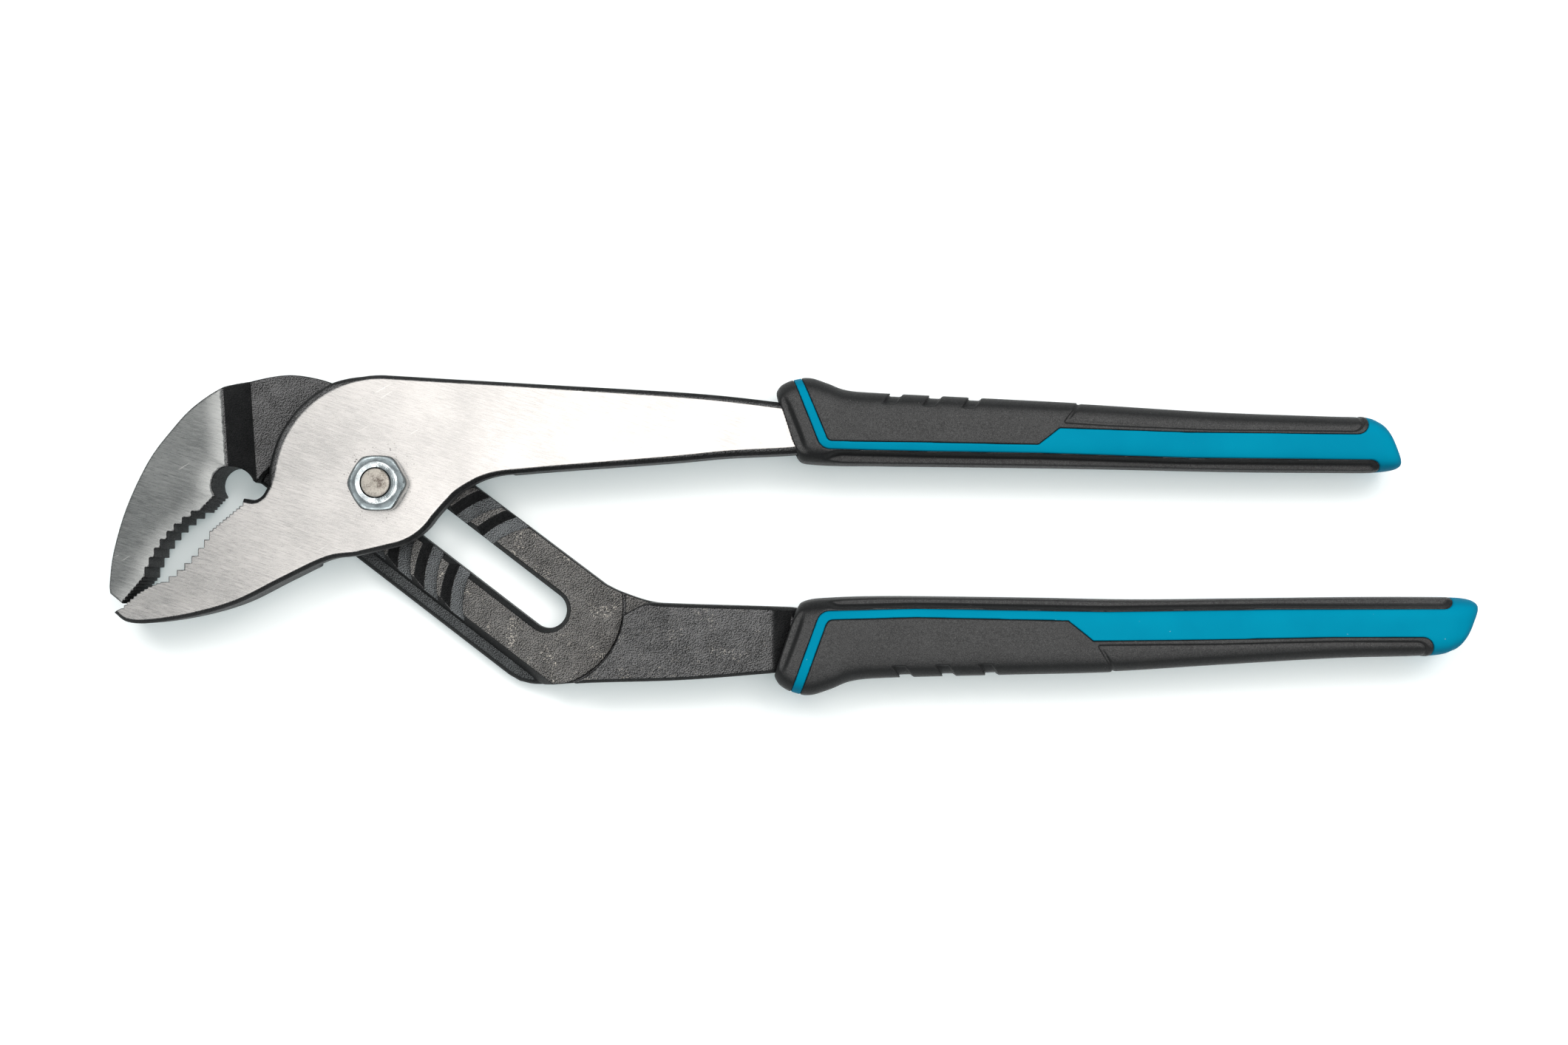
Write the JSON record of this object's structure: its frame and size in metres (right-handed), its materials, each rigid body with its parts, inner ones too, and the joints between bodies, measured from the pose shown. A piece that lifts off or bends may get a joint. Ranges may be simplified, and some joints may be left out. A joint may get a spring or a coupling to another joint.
{
  "type": "water pump pliers",
  "caption": "Groove-joint water pump pliers: two forged levers on a sliding bolt, curved toothed jaws, arc grooves in a slotted plate, two-component handle grips.",
  "frame": {"origin": "on the pivot axis, at the flat end of the bolt head that the tool lies on", "axes": "+X along the handles, +Y towards the upper handle, +Z towards the front with the nut"},
  "size_m": [0.2979, 0.0703, 0.0202],
  "materials": {
    "black_steel": "black phosphate forging with a ground jaw face",
    "ground_steel": "ground satin faces with black forged edges",
    "zinc": "bright zinc plating",
    "teal_plastic": "smooth satin moulding",
    "black_rubber": "fine matt grain"
  },
  "bodies": {
    "rear": {"rear_lever": "black_steel", "lower_grip_core": "teal_plastic", "lower_grip_collar": "black_rubber", "lower_grip_pad": "black_rubber"},
    "pivot": {"pivot_bolt": "zinc", "pivot_nut": "zinc"},
    "front": {"front_lever": "ground_steel", "upper_grip_core": "teal_plastic", "upper_grip_collar": "black_rubber", "upper_grip_pad": "black_rubber"}
  },
  "joints": [
    {"name": "pivot_slide", "type": "slide", "parent": "rear", "child": "pivot", "axis": [0.7934, -0.6088, 0], "range_m": [0, 0.0438]},
    {"name": "jaw_hinge", "type": "hinge", "parent": "pivot", "child": "front", "pos_m": [0, 0, 0.0114], "axis": [0, 0, 1], "range_deg": [0, 42]}
  ]
}
